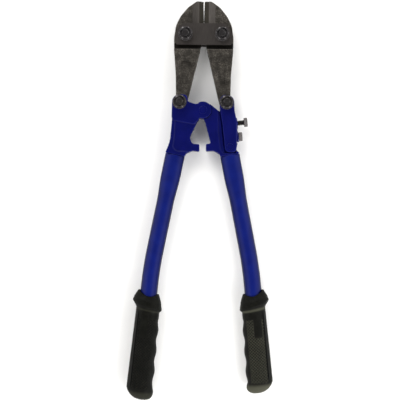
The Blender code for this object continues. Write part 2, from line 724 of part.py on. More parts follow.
def main():
    for old in list(bpy.data.objects):
        bpy.data.objects.remove(old, do_unlink=True)
    paint = make_materials()
    tool = bpy.data.objects.new("tool", None)
    bpy.context.scene.collection.objects.link(tool)

    left_jaw_at, right_jaw_at = at(JAW_PIVOT, -1), at(JAW_PIVOT, 1)
    left_bolt_at, right_bolt_at = at(HANDLE_PIVOT, -1), at(HANDLE_PIVOT, 1)
    straps = make_body("straps_body", CENTRE_PIVOT, tool)
    left_jaw = make_body("left_jaw_body", left_jaw_at, straps)
    right_jaw = make_body("right_jaw_body", right_jaw_at, straps)
    left_handle = make_body("left_handle_body", left_bolt_at, left_jaw, left_jaw_at)
    right_handle = make_body("right_handle_body", CENTRE_PIVOT, left_handle, left_bolt_at)
    lug = make_body("lug_body", LUG_PIVOT, right_handle)
    adjusting = make_body("adjusting_screw_body", ADJUSTING_SCREW_AT, lug, LUG_PIVOT)
    locking = make_body("locking_screw_body", LOCKING_SCREW_AT, right_handle)

    jaw_end = STRAP_OUTER + WASHER_HEIGHT + NUT_HEIGHT + 3 * GAP + BOLT_STICK_OUT
    for face, label in ((1, "front"), (-1, "rear")):
        fit(make_strap(f"{label}_strap", face), straps, CENTRE_PIVOT, paint["strap_steel"])
    for side, label in ((-1, "left"), (1, "right")):
        where = at(JAW_PIVOT, side)
        washer_seat = STRAP_OUTER + GAP
        nut_seat = washer_seat + WASHER_HEIGHT + GAP
        for piece in (make_bolt(f"{label}_jaw_bolt", where, STRAP_OUTER, jaw_end),
                      make_washer(f"{label}_jaw_washer", where, washer_seat),
                      make_nut(f"{label}_jaw_nut", where, nut_seat)):
            fit(piece, straps, CENTRE_PIVOT, paint["black_oxide"])
    fit(make_jaw("left_jaw", -1), left_jaw, left_jaw_at, paint["jaw_steel"])
    fit(make_jaw("right_jaw", 1), right_jaw, right_jaw_at, paint["jaw_steel"])

    bolt_end = CHEEK_OUTER + WASHER_HEIGHT + NUT_HEIGHT + 3 * GAP + BOLT_STICK_OUT
    for label, where, body, pivot in (("left", left_bolt_at, left_handle, left_bolt_at),
                                      ("right", right_bolt_at, lug, LUG_PIVOT)):
        washer_seat = CHEEK_OUTER + GAP
        nut_seat = washer_seat + WASHER_HEIGHT + GAP
        for piece in (make_bolt(f"{label}_handle_bolt", where, CHEEK_OUTER, bolt_end),
                      make_washer(f"{label}_handle_washer", where, washer_seat),
                      make_nut(f"{label}_handle_nut", where, nut_seat)):
            fit(piece, body, pivot, paint["black_oxide"])

    pin = make_pin("centre_pin", CENTRE_PIVOT, PIN_RADIUS, CHEEK_OUTER)
    fit(pin, left_handle, left_bolt_at, paint["blue_paint"])
    pin = make_pin("lug_pin", LUG_PIVOT, PIN_RADIUS - 1.0, CHEEK_OUTER)
    fit(pin, right_handle, CENTRE_PIVOT, paint["blue_paint"])
    fit(make_left_arm("left_arm"), left_handle, left_bolt_at, paint["blue_paint"])
    fit(make_right_arm("right_arm"), right_handle, CENTRE_PIVOT, paint["blue_paint"])
    fit(make_lug("adjusting_lug"), lug, LUG_PIVOT, paint["blue_paint"])
    for side, label, body, pivot in ((-1, "left", left_handle, left_bolt_at),
                                     (1, "right", right_handle, CENTRE_PIVOT)):
        fit(make_tube(f"{label}_tube", side), body, pivot, paint["blue_paint"])
        fit(make_grip(f"{label}_grip", side), body, pivot, paint["black_grip"])

    screw = make_screw("adjusting_screw", ADJUSTING_SCREW_AT, 7.4, -9.6)
    fit(screw, adjusting, ADJUSTING_SCREW_AT, paint["black_oxide"])
    screw = make_screw("locking_screw", LOCKING_SCREW_AT, GAP, -22.0)
    fit(screw, locking, LOCKING_SCREW_AT, paint["black_oxide"])
    stand_on_origin(tool)


main()
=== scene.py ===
import json
import math

import bmesh
import bpy
from mathutils import Matrix, Vector


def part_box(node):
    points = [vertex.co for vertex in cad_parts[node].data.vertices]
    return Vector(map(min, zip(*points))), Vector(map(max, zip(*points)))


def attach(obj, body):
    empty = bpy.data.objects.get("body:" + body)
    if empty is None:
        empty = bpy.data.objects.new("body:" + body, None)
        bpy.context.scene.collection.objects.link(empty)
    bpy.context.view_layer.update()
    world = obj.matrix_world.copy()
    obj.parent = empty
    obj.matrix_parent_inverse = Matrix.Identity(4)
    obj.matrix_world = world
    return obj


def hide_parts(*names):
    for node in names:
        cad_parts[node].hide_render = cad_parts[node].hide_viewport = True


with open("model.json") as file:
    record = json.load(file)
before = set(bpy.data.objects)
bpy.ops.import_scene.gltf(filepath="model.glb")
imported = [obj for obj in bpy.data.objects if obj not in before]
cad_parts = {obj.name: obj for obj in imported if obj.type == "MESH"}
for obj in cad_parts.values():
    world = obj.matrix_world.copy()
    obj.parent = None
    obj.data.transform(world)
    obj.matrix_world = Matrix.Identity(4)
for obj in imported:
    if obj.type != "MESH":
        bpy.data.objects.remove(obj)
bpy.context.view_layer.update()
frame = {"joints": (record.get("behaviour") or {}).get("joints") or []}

# Lengths here are in millimetres, measured from the centre pivot as in the CAD model:
# x to the right, y towards the jaws, z out of the front face.
MM = 0.001
JOINTS = {joint["name"]: joint for joint in frame["joints"]}
ORIGIN = Vector(JOINTS["handles"]["pos_m"])


def joint_at(name):
    """Where a joint is, as (x, y) of the right-hand side."""
    place = (Vector(JOINTS[name]["pos_m"]) - ORIGIN) / MM
    return abs(place.x), place.y


def node_span(node, axis):
    """Lowest and highest coordinate of a CAD node, in this script's own units."""
    return [(corner[axis] - ORIGIN[axis]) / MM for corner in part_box(node)]


JAW_PIVOT = joint_at("right_jaw_pivot")
HANDLE_PIVOT = joint_at("left_handle_pivot")
LUG_PIVOT = joint_at("lug_pivot")
CENTRE = (0.0, 0.0)
LABELS = {-1: "left", 1: "right"}

GAP = 0.3                      # clearance between touching pieces
CHAMFER = 0.7                  # broken edges of the straps
THROUGH = 12.0                 # further out than any flat face, for cuts that go right through

# How far flat faces are from the middle plane
BLADE = 5.0                    # jaws at the straps, jaw tails, core of the right arm
PLATE_INNER = 5.3              # inner face of straps, cheeks and lug plates
STRAP_OUTER = node_span("front_strap", 2)[1]
CHEEK_OUTER = node_span("left_arm", 2)[1]
LEG_OUTER = 8.8                # jaw legs just below the straps
RIM_OUTER = 9.1                # rim along the left arm's outer edge
PANEL_OUTER = 8.2              # arm walls below the cheeks
RIDGE_OUTER = 7.0
SLOT_FLOOR = 4.6               # floor of the slot between strap and leg
REAR_FACE = -node_span("left_jaw_bolt", 2)[0]

# Jaws and straps
TIP_Y = node_span("left_jaw", 1)[1]
EDGE_TIP_X = 0.68              # half of the slit between the cutting edges at their tips
EDGE_X = 0.32                  # the same further down, where the edges run parallel
SHOULDER_Y = 69.3
LEG_TAPER = ((60.0, LEG_OUTER), (22.0, BLADE))
POCKET_DEPTH = 1.5
BEVEL_START = 97.3             # how far up the ground bevels begin
TAIL_RADIUS = 8.4
STRAP_BOTTOM, STRAP_TOP = node_span("front_strap", 1)

# Fasteners
BOLT_RADIUS = 4.0
BOLT_HOLE = BOLT_RADIUS + GAP
BOLT_PITCH = 1.25
BOLT_FLATS = 13.0
NUT_HEIGHT = 6.5
WASHER_RADIUS = 8.1
WASHER_HEIGHT = 1.6
SCREW_RADIUS = 2.9
SCREW_HOLE = SCREW_RADIUS + GAP
SCREW_PITCH = 1.0
SCREW_FLATS = 10.0
SCREW_HEAD = 4.0
SCREW_TILT = math.radians(6.0)
ADJUSTING_SCREW_AT = (39.6, -14.1)     # outer face of its boss
LOCKING_SCREW_AT = (41.0, -29.8)
PIN_RADIUS = 4.5
LUG_PIN_RADIUS = 3.5
PIN_DOME = 0.35
HEX_BREAK = 0.18               # broken edges of heads and nuts

# Arms and lug
DISC_RADIUS = 9.6              # left cheeks round the centre pivot
TONGUE_RADIUS = 9.2
LUG_END_RADIUS = 8.4
BOSS_RADIUS = 6.2
CORE_EDGE_X = 29.5             # outer edge of the right arm inside the lug
WEB_X = 30.4                   # inner edge of the web that joins the lug plates
STOP_X = 3.7                   # half of the gap between the stops

# Tubes and grips
TUBE_RADIUS = 9.8
TUBE_WALL = 1.6
TUBE_SIDES = 72
TUBE_STEP = 4.0
FLARE = (11.2, 8.0)            # half width and half thickness of the mouth over the arm's shank
TUBE_START = (31.3, -51.0)
TUBE_SLOPE = 0.1985            # sideways run per unit of length, above the bend
TUBE_BEND = (-160.0, -200.0)
GRIP_SLOPE = 0.0975            # the same, below the bend
TUBE_END = node_span("left_tube", 1)[0]
GRIP_TOP = {-1: -208.2, 1: -206.9}     # by side
GRIP_END = {side: node_span(f"{LABELS[side]}_grip", 1)[0] for side in (-1, 1)}
GRIP_SLANT = 0.16              # how much higher the collar is on the outside, per unit of width
GRIP_NOSE = 13.0               # length of the rounded end
GRIP_OFFSET = -1.0             # the sleeve sits towards the inside of the tube's axis
GRIP_HALF_WIDTH = 13.1         # at the mouth; it widens down to 100 from there
GRIP_WIDENING = 1.7
GRIP_HALF_DEPTH = 12.7
COLLAR_FLARE = (2.6, 4.6, 2.2)         # inwards, outwards, and on the faces
MOUTH_DIP = 4.5                # how much lower the collar's rim runs on the faces
FINGER_PITCH = 23.3
FINGER_FIRST = -251.0
FINGER_SWELL = 0.75
KNURL_PITCH = 3.4
KNURL_DEPTH = 0.9
GRIP_SIDES = 200
GRIP_STEP = 0.42
NOSE_STEPS = 26
GRIP_HIGHLIGHT = {-1: 0.4, 1: 1.0}  # how strongly the painted highlight is laid on each grip, stronger on the right
LIGHT_AND_SHADE = "light_and_shade"              # vertex attribute that holds the grips' painted highlight and shade


def millimetres(x, y, z=0.0):
    return ORIGIN + Vector((x, y, z)) * MM


# ---------------------------------------------------------------- outlines


def arc_at(before, corner, after, radius, step):
    """Points of the arc that rounds a corner."""
    here = Vector(corner[:2])
    back = Vector(before[:2]) - here
    ahead = Vector(after[:2]) - here
    half = back.angle(ahead) / 2
    reach = min(radius / math.tan(half), 0.49 * back.length, 0.49 * ahead.length)
    radius = reach * math.tan(half)
    start = here + back.normalized() * reach
    end = here + ahead.normalized() * reach
    centre = here + (back.normalized() + ahead.normalized()).normalized() * (radius / math.sin(half))
    turn = (start - centre).angle_signed(end - centre)
    count = max(1, round(abs(math.degrees(turn)) / step))
    points = []
    for i in range(count + 1):
        spoke = (start - centre).copy()
        spoke.rotate(Matrix.Rotation(-turn * i / count, 2))
        points.append(tuple(centre + spoke))
    return points


def rounded(corners, step=4.0):
    """A closed outline from corners (x, y) or (x, y, radius)."""
    points = []
    for i, corner in enumerate(corners):
        if len(corner) == 2:
            points.append(tuple(corner))
            continue
        points += arc_at(corners[i - 1], corner, corners[(i + 1) % len(corners)], corner[2], step)
    return points


def circle(centre, radius, sides=72):
    turns = [2 * math.pi * i / sides for i in range(sides)]
    return [(centre[0] + radius * math.cos(a), centre[1] + radius * math.sin(a)) for a in turns]


def mirrored(points):
    return [(-p[0], *p[1:]) for p in points]


def sided(points, side):
    return list(points) if side > 0 else mirrored(points)


def at(point, side):
    return (point[0] * side, point[1])


def smooth_step(low, high, value):
    share = min(1.0, max(0.0, (value - low) / (high - low)))
    return share * share * (3 - 2 * share)


# ---------------------------------------------------------------- solids


def solid(name, bm, looks=()):
    bmesh.ops.recalc_face_normals(bm, faces=bm.faces)
    mesh = bpy.data.meshes.new(name)
    bm.to_mesh(mesh)
    bm.free()
    obj = bpy.data.objects.new(name, mesh)
    bpy.context.scene.collection.objects.link(obj)
    for look in looks:
        mesh.materials.append(look)
    return obj


def prism(name, outline, low, high, edge=0.0, segments=3, looks=()):
    """An outline extruded from low to high, which are heights or functions of x and y."""
    bm = bmesh.new()

    def height(level, x, y):
        return level(x, y) if callable(level) else level

    floor = [bm.verts.new(millimetres(x, y, height(low, x, y))) for x, y in outline]
    roof = [bm.verts.new(millimetres(x, y, height(high, x, y))) for x, y in outline]
    rims = [bm.faces.new(floor), bm.faces.new(roof)]
    for i in range(len(outline)):
        j = (i + 1) % len(outline)
        bm.faces.new((floor[i], floor[j], roof[j], roof[i]))
    if edge:
        edges = {e for face in rims for e in face.edges}
        bmesh.ops.bevel(bm, geom=list(edges), offset=edge * MM, segments=segments, profile=0.6,
                        affect="EDGES")
    return solid(name, bm, looks)


def plate(name, outline, thickness, edge=0.0):
    return prism(name, outline, -thickness, thickness, edge)


def rod(name, centre, radius, low, high, sides=72):
    return prism(name, circle(centre, radius, sides), low, high)


def hole(where, radius):
    """A cutter for a hole right through."""
    return rod("hole", where, radius, -THROUGH, THROUGH)


def between(face, inner, outer):
    """Lowest and highest z of a layer on the front (1) or rear (-1) face."""
    return sorted((inner * face, outer * face))


def turn_about_origin(obj, matrix):
    """Applies a matrix given in this script's own axes, about the centre pivot."""
    here = Matrix.Translation(ORIGIN)
    obj.data.transform(here @ matrix @ here.inverted())
    return obj


def move(obj, x, y, z=0.0):
    obj.data.transform(Matrix.Translation(Vector((x, y, z)) * MM))
    return obj


def side_prism(name, profile, low, high):
    """A (y, z) profile extruded along x."""
    turn = Matrix(((0, 0, 1, 0), (1, 0, 0, 0), (0, 1, 0, 0), (0, 0, 0, 1)))
    return turn_about_origin(prism(name, profile, low, high), turn)


def end_prism(name, profile, low, high, looks=()):
    """An (x, z) profile extruded along y."""
    turn = Matrix(((1, 0, 0, 0), (0, 0, 1, 0), (0, 1, 0, 0), (0, 0, 0, 1)))
    body = turn_about_origin(prism(name, profile, low, high, looks=looks), turn)
    body.data.flip_normals()
    return body


def bake(obj):
    """Applies an object's modifiers."""
    mesh = bpy.data.meshes.new_from_object(obj.evaluated_get(bpy.context.evaluated_depsgraph_get()))
    obj.modifiers.clear()
    obj.data = mesh
    return obj


def combine(base, other, operation):
    modifier = base.modifiers.new(operation, "BOOLEAN")
    modifier.operation = operation
    modifier.solver = "EXACT"
    modifier.material_mode = "TRANSFER"
    modifier.object = other
    bake(base)
    bpy.data.objects.remove(other, do_unlink=True)
    return base


def join(base, *others):
    for other in others:
        combine(base, other, "UNION")
    return base


def cut(base, *others):
    for other in others:
        combine(base, other, "DIFFERENCE")
    return base


def keep_inside(base, other):
    return combine(base, other, "INTERSECT")


def forge(obj, voxel=0.5, rounds=5):
    """Softens every edge and corner of a solid, as a die-forged surface has them."""
    remesh = obj.modifiers.new("remesh", "REMESH")
    remesh.mode = "VOXEL"
    remesh.voxel_size = voxel * MM
    remesh.use_smooth_shade = True
    smooth = obj.modifiers.new("smooth", "SMOOTH")
    smooth.factor = 0.5
    smooth.iterations = rounds
    return bake(obj)


def skin(bm, rings, closed=False):
    """Quads between rings; the ends are capped, or joined to each other when closed."""
    sides = len(rings[0])
    pairs = list(zip(rings, rings[1:]))
    if closed:
        pairs.append((rings[-1], rings[0]))
    for lower, upper in pairs:
        for i in range(sides):
            j = (i + 1) % sides
            bm.faces.new((lower[i], lower[j], upper[j], upper[i]))
    if not closed:
        bm.faces.new(rings[0])
        bm.faces.new(rings[-1])


def turned(name, profile, sides=72, closed=False):
    """A (radius, z) profile turned about z: its ends are capped, or joined to each other when closed."""
    bm = bmesh.new()
    rings = [[bm.verts.new(millimetres(x, y, z)) for x, y in circle(CENTRE, radius, sides)]
             for radius, z in profile]
    skin(bm, rings, closed)
    return solid(name, bm)


# ---------------------------------------------------------------- materials


def linear(code):
    """A hexadecimal colour as linear red, green, blue and alpha."""
    values = [int(code[i:i + 2], 16) / 255 for i in (0, 2, 4)]
    return [v / 12.92 if v <= 0.04045 else ((v + 0.055) / 1.055) ** 2.4 for v in values] + [1.0]


class Look:
    """A node material on object coordinates, whose units are metres."""

    def __init__(self, name, metallic, specular=0.5, coat=0.0, coat_roughness=0.1):
        self.material = bpy.data.materials.new(name)
        self.material.use_nodes = True
        self.tree = self.material.node_tree
        self.shader = self.tree.nodes["Principled BSDF"]
        self.shader.inputs["Metallic"].default_value = metallic
        self.shader.inputs["Specular IOR Level"].default_value = specular
        self.shader.inputs["Coat Weight"].default_value = coat
        self.shader.inputs["Coat Roughness"].default_value = coat_roughness
        self.place = self.tree.nodes.new("ShaderNodeTexCoord").outputs["Object"]
        self.bump = None

    def stretched(self, turn, scale):
        mapping = self.tree.nodes.new("ShaderNodeMapping")
        mapping.inputs["Rotation"].default_value = turn
        mapping.inputs["Scale"].default_value = scale
        self.tree.links.new(self.place, mapping.inputs["Vector"])
        return mapping.outputs["Vector"]

    def noise(self, size, detail=3.0, stretch=None, turn=(0.0, 0.0, 0.0), rough=0.55):
        """Noise with features about size millimetres across."""
        noise = self.tree.nodes.new("ShaderNodeTexNoise")
        noise.inputs["Scale"].default_value = 1000.0 / size
        noise.inputs["Detail"].default_value = detail
        noise.inputs["Roughness"].default_value = rough
        place = self.stretched(turn, stretch) if stretch else self.place
        self.tree.links.new(place, noise.inputs["Vector"])
        return noise.outputs["Fac"]

    def spread(self, fac, low, high, out_low, out_high):
        ranged = self.tree.nodes.new("ShaderNodeMapRange")
        ends = {"From Min": low, "From Max": high, "To Min": out_low, "To Max": out_high}
        for socket, value in ends.items():
            ranged.inputs[socket].default_value = value
        self.tree.links.new(fac, ranged.inputs["Value"])
        return ranged.outputs["Result"]

    def blend(self, fac, first, second):
        mix = self.tree.nodes.new("ShaderNodeMix")
        mix.data_type = "RGBA"
        for socket, value in ((mix.inputs[6], first), (mix.inputs[7], second)):
            if isinstance(value, (list, tuple)):
                socket.default_value = value
            else:
                self.tree.links.new(value, socket)
        self.tree.links.new(fac, mix.inputs[0])
        return mix.outputs[2]

    def edges(self, low=0.5, high=0.56):
        """1 along sharp convex edges, 0 elsewhere."""
        geometry = self.tree.nodes.new("ShaderNodeNewGeometry")
        return self.spread(geometry.outputs["Pointiness"], low, high, 0.0, 1.0)

    def upright(self):
        """How squarely a surface faces the front or the rear of the tool, from 0 to 1."""
        normal = self.tree.nodes.new("ShaderNodeTexCoord").outputs["Normal"]
        parts = self.tree.nodes.new("ShaderNodeSeparateXYZ")
        size = self.tree.nodes.new("ShaderNodeMath")
        size.operation = "ABSOLUTE"
        self.tree.links.new(normal, parts.inputs["Vector"])
        self.tree.links.new(parts.outputs["Z"], size.inputs[0])
        return size.outputs[0]

    def times(self, first, second):
        product = self.tree.nodes.new("ShaderNodeMath")
        product.operation = "MULTIPLY"
        self.tree.links.new(first, product.inputs[0])
        self.tree.links.new(second, product.inputs[1])
        return product.outputs[0]

    def raise_by(self, fac, depth, strength=1.0):
        """Adds relief of a depth in millimetres."""
        bump = self.tree.nodes.new("ShaderNodeBump")
        bump.inputs["Distance"].default_value = depth * MM
        bump.inputs["Strength"].default_value = strength
        self.tree.links.new(fac, bump.inputs["Height"])
        if self.bump:
            self.tree.links.new(self.bump, bump.inputs["Normal"])
        self.bump = bump.outputs["Normal"]

    def finish(self, colour, roughness):
        self.tree.links.new(colour, self.shader.inputs["Base Color"])
        self.tree.links.new(roughness, self.shader.inputs["Roughness"])
        if self.bump:
            self.tree.links.new(self.bump, self.shader.inputs["Normal"])
        return self.material


def forged_steel():
    """Phosphated forging: dark brown-grey, blotched and finely pitted."""
    look = Look("forged_steel", 0.7, specular=0.2)
    blotch = look.spread(look.noise(9.0, 4.0), 0.35, 0.65, 0.0, 1.0)
    colour = look.blend(blotch, linear("322f2b"), linear("45413b"))
    speck = look.spread(look.noise(1.1, 2.0), 0.5, 0.6, 0.0, 1.0)
    colour = look.blend(look.times(speck, blotch), colour, linear("66615b"))
    pit = look.spread(look.noise(0.8, 2.0), 0.58, 0.66, 0.0, 1.0)
    colour = look.blend(pit, colour, linear("12110f"))
    # painted highlight: paler along sharp convex edges
    colour = look.blend(look.edges(0.51, 0.6), colour, linear("6a655f"))
    roughness = look.spread(look.noise(2.5, 4.0), 0.3, 0.7, 0.42, 0.6)
    look.raise_by(look.noise(1.3, 3.0), 0.16, 0.8)
    look.raise_by(look.noise(0.45, 2.0), 0.05, 0.5)
    return look.finish(colour, roughness)


def ground_steel(name, dark, light, turn, line=0.22):
    """Ground face: fine parallel scratches over an even grey."""
    look = Look(name, 0.8, specular=0.2)
    stretch = (1.0, 0.03, 1.0)
    scratch = look.noise(line, 3.0, stretch, turn)
    cloud = look.noise(7.0, 3.0)
    colour = look.blend(look.spread(scratch, 0.35, 0.65, 0.0, 1.0), linear(dark), linear(light))
    colour = look.blend(look.spread(cloud, 0.5, 0.8, 0.0, 0.5), colour, linear(dark))
    roughness = look.spread(look.noise(line * 1.7, 2.0, stretch, turn), 0.3, 0.7, 0.38, 0.52)
    look.raise_by(scratch, 0.02, 0.6)
    return look.finish(colour, roughness)


def painted_slot_shade():
    """Near-black painted shade for the floors of the slots beside the straps."""
    look = Look("painted_slot_shade", 0.0, specular=0.1)
    cloud = look.spread(look.noise(1.8, 4.0), 0.35, 0.7, 0.0, 1.0)
    colour = look.blend(cloud, linear("080704"), linear("14110b"))
    roughness = look.spread(look.noise(1.1, 3.0), 0.3, 0.7, 0.35, 0.6)
    look.raise_by(look.noise(0.9, 3.0), 0.08, 0.7)
    return look.finish(colour, roughness)


def black_oxide():
    """Blackened fasteners, worn to bare steel on their edges."""
    look = Look("black_oxide", 0.4, specular=0.15)
    cloud = look.spread(look.noise(2.5, 3.0), 0.35, 0.7, 0.0, 1.0)
    colour = look.blend(cloud, linear("080708"), linear("121112"))
    colour = look.blend(look.edges(0.52, 0.6), colour, linear("5a5757"))
    roughness = look.spread(look.noise(1.5, 3.0), 0.3, 0.7, 0.18, 0.32)
    look.raise_by(look.noise(0.5, 2.0), 0.02, 0.5)
    return look.finish(colour, roughness)


def blue_enamel(name, orange_peel, dark, light, sides=None):
    """Thick glossy paint with dark specks, a painted highlight along sharp convex edges and, if asked,
    painted shade down a round piece's sides.
    """
    look = Look(name, 0.0, specular=0.07, coat=0.05, coat_roughness=0.16)
    cloud = look.spread(look.noise(14.0, 3.0), 0.3, 0.7, 0.0, 1.0)
    colour = look.blend(cloud, linear(dark), linear(light))
    if sides:
        # painted shade: darker as the surface turns away from the front and rear, down a round piece's sides
        colour = look.blend(look.spread(look.upright(), 0.25, 0.95, 1.0, 0.0), colour, linear(sides))
    speck = look.spread(look.noise(0.7, 2.0), 0.64, 0.76, 0.0, 1.0)
    colour = look.blend(speck, colour, linear("04063a"))
    # painted highlight: paler along sharp convex edges
    colour = look.blend(look.edges(0.515, 0.58), colour, linear("161f78"))
    roughness = look.spread(look.noise(3.0, 3.0), 0.3, 0.7, 0.28, 0.4)
    look.raise_by(look.noise(3.4, 2.0), orange_peel, 0.5)
    look.raise_by(look.noise(0.9, 2.0), orange_peel * 0.3, 0.5)
    return look.finish(colour, roughness)


def moulded_grip():
    """Black PVC with dust; its ribs paler from wear and painted highlight, its collar ledge and end paler
    from painted highlight, and its hollows and groove darker from painted shade.
    """
    look = Look("moulded_grip", 0.0, specular=0.05)
    cloud = look.spread(look.noise(8.0, 4.0), 0.35, 0.7, 0.0, 1.0)
    colour = look.blend(cloud, linear("0a0a08"), linear("12120f"))
    dust = look.spread(look.noise(1.6, 5.0), 0.55, 0.75, 0.0, 0.5)
    colour = look.blend(dust, colour, linear("22221b"))
    light_and_shade = look.tree.nodes.new("ShaderNodeAttribute")
    light_and_shade.attribute_name = LIGHT_AND_SHADE
    # painted shade in the knurl's hollows and the side groove
    colour = look.blend(look.spread(light_and_shade.outputs["Fac"], -0.05, -0.6, 0.0, 1.0), colour, linear("040403"))
    # painted highlight on the ribs (partly wear too), on the collar ledge and on the rounded end
    colour = look.blend(look.spread(light_and_shade.outputs["Fac"], 0.1, 1.0, 0.0, 0.9), colour, linear("5a5a4c"))
    roughness = look.spread(look.noise(2.0, 4.0), 0.3, 0.7, 0.42, 0.56)
    look.raise_by(look.noise(0.5, 2.0), 0.03, 0.6)
    return look.finish(colour, roughness)


def pale_paper():
    """The white sheet that the tool lies on."""
    look = Look("pale_paper", 0.0, specular=0.1)
    colour = look.blend(look.noise(30.0, 4.0), linear("f6f5f3"), linear("fbfaf8"))
    roughness = look.spread(look.noise(4.0, 3.0), 0.3, 0.7, 0.85, 0.95)
    look.raise_by(look.noise(1.5, 4.0), 0.03, 0.3)
    return look.finish(colour, roughness)


FORGED = forged_steel()
GROUND_LIGHT = ground_steel("ground_steel", "433f3c", "534f4b", (0.0, 0.0, 0.0))
# the same ground finish, darker for the steep bevel: painted shade
GROUND_SHADED = ground_steel("ground_steel_shaded", "26241f", "34312b", (0.0, 0.0, 0.0))
STRAP_STEEL = ground_steel("strap_steel", "3a3634", "484441", (0.0, 0.0, math.radians(90)), 0.3)
# painted shade for the slot floors beside the straps
SLOT_SHADE = painted_slot_shade()
OXIDE = black_oxide()
PAINT = blue_enamel("blue_forging_paint", 0.16, "050943", "080c4e")
# the last colour is the painted shade down the tube's sides
TUBE_PAINT = blue_enamel("blue_tube_paint", 0.04, "0a1455", "0e1a62", "04062a")
GRIP = moulded_grip()


# ---------------------------------------------------------------- finishing a piece


def finish_piece(obj, body, node, look=None, sharp=35.0):
    if look:
        obj.data.materials.clear()
        obj.data.materials.append(look)
    obj.data.shade_smooth()
    obj.data.set_sharp_from_angle(angle=math.radians(sharp))
    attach(obj, body)
    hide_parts(node)
    return obj


# ---------------------------------------------------------------- jaws and straps


def leg_face(y):
    (top, thick), (bottom, thin) = LEG_TAPER
    share = min(1.0, max(0.0, (y - bottom) / (top - bottom)))
    return thin + (thick - thin) * share


def jaw_outline():
    x, y = HANDLE_PIVOT
    tail = [(x + TAIL_RADIUS * math.cos(a), y + TAIL_RADIUS * math.sin(a))
            for a in [math.radians(d) for d in range(-150, 61, 5)]]
    return rounded(tail + [
        (31.2, 22.0), (31.5, 40.0, 60), (33.6, 66.0, 40), (34.0, 82.0, 25), (31.9, 96.5, 25),
        (26.6, 107.0, 25), (18.2, 117.2, 22), (8.2, TIP_Y, 5), (EDGE_TIP_X, TIP_Y), (EDGE_X, 103.0),
        (EDGE_X, 84.0), (17.2, 12.6, 3),
    ])


def ground_bevels(side):
    """Cutters for the steep bevel at the edge and the shallow one beside it, front and rear."""
    cutters = []
    for face in (1, -1):
        shallow = [(3.0, 2.5), (13.2, BLADE + 0.05), (13.2, THROUGH), (3.0, THROUGH)]
        steep = [(-2.0, -0.6), (EDGE_X, 0.6), (6.2, 3.5), (6.2, THROUGH), (-2.0, THROUGH)]
        for profile, look in ((shallow, GROUND_LIGHT), (steep, GROUND_SHADED)):
            profile = sided([(x, z * face) for x, z in profile], side)
            cutters.append(end_prism("bevel", profile, BEVEL_START, TIP_Y + 5, [look]))
    return cutters


def shaded_slots():
    """Cutters that deepen the slot between strap and leg a little, and give its floor a painted shade."""
    outline = [(-45.0, SHOULDER_Y + 0.1), (45.0, SHOULDER_Y + 0.1), (45.0, STRAP_BOTTOM + 2.0),
               (-45.0, STRAP_BOTTOM + 2.0)]
    return [prism("slot", outline, *between(face, SLOT_FLOOR, THROUGH), looks=[SLOT_SHADE]) for face in (1, -1)]


def leg_pockets(side):
    """Cutters for the recesses in both faces of a jaw's leg, evenly deep below its taper."""
    outline = sided(rounded([
        (25.4, 55.6, 2.5), (13.7, 55.2, 2.5), (18.8, 29.1, 1.5), (25.1, 29.1, 1.5),
    ]), side)
    front = prism("pocket", outline, lambda x, y: leg_face(y) - POCKET_DEPTH, THROUGH, looks=[FORGED])
    rear = prism("pocket", outline, -THROUGH, lambda x, y: POCKET_DEPTH - leg_face(y), looks=[FORGED])
    return [front, rear]


def tail_slot():
    """The right tail's slot, in which the handle bolt drifts as the handles open."""
    x, y = HANDLE_PIVOT
    half = BOLT_HOLE + 0.5
    reach = 6.7
    return rounded([(x - reach, y - half, half), (x + reach, y - half, half),
                    (x + reach, y + half, half), (x - reach, y + half, half)])


def make_jaw(side):
    """A forging thinned to its profile, with its ground faces, pockets and holes cut crisply."""
    label = LABELS[side]
    jaw = plate("jaw", sided(jaw_outline(), side), THROUGH)
    front = [(TIP_Y + 1, BLADE), (SHOULDER_Y, BLADE), (SHOULDER_Y, LEG_OUTER), *LEG_TAPER, (-2.0, BLADE)]
    rear = [(y, -z) for y, z in reversed(front)]
    keep_inside(jaw, side_prism("profile", front + rear, -45.0, 45.0))
    forge(jaw, 0.42, 3)
    jaw.data.materials.clear()
    jaw.data.materials.append(FORGED)
    cut(jaw, *ground_bevels(side), *shaded_slots(), *leg_pockets(side))
    cut(jaw, hole(at(JAW_PIVOT, side), BOLT_HOLE))
    if side < 0:
        cut(jaw, hole(at(HANDLE_PIVOT, side), BOLT_HOLE))
    else:
        cut(jaw, plate("slot", tail_slot(), THROUGH))
    jaw.name = f"{label}_jaw_forging"
    finish_piece(jaw, f"{label}_jaw", f"{label}_jaw", sharp=28.0)


def strap_outline():
    half = [(31.2, STRAP_BOTTOM, 1.5), (32.5, 84.0, 14), (29.6, 93.5, 8), (23.5, STRAP_TOP, 5)]
    return rounded(half + mirrored(half)[::-1], 6.0)


def make_strap(face, label):
    low, high = between(face, PLATE_INNER, STRAP_OUTER)
    strap = prism(f"{label}_strap_plate", strap_outline(), low, high, CHAMFER, 2)
    for side in (-1, 1):
        cut(strap, hole(at(JAW_PIVOT, side), BOLT_HOLE))
    finish_piece(strap, "straps", f"{label}_strap", STRAP_STEEL, 25.0)


# ---------------------------------------------------------------- fasteners


def hex_sizes(flats):
    """Radius at a hexagon's corners, radius where their cone starts, and how far the cone drops."""
    corner = flats / 2 / math.cos(math.pi / 6)
    start = flats / 2 * 0.95
    return corner, start, (corner - start) * math.tan(math.radians(30))


def hex_prism(name, flats, low, high):
    corner, _, _ = hex_sizes(flats)
    return prism(name, circle(CENTRE, corner, 6), low, high, HEX_BREAK, 2)


def hex_block(name, flats, low, high, both=True):
    """A hexagonal head or nut with its corners turned off to a cone, at both ends or only the top."""
    corner, start, drop = hex_sizes(flats)
    under = [(start, low), (corner, low + drop)] if both else [(corner, low)]
    cone = turned("cone", [*under, (corner + 0.02, high - drop), (start, high)])
    return keep_inside(hex_prism(name, flats, low, high), cone)


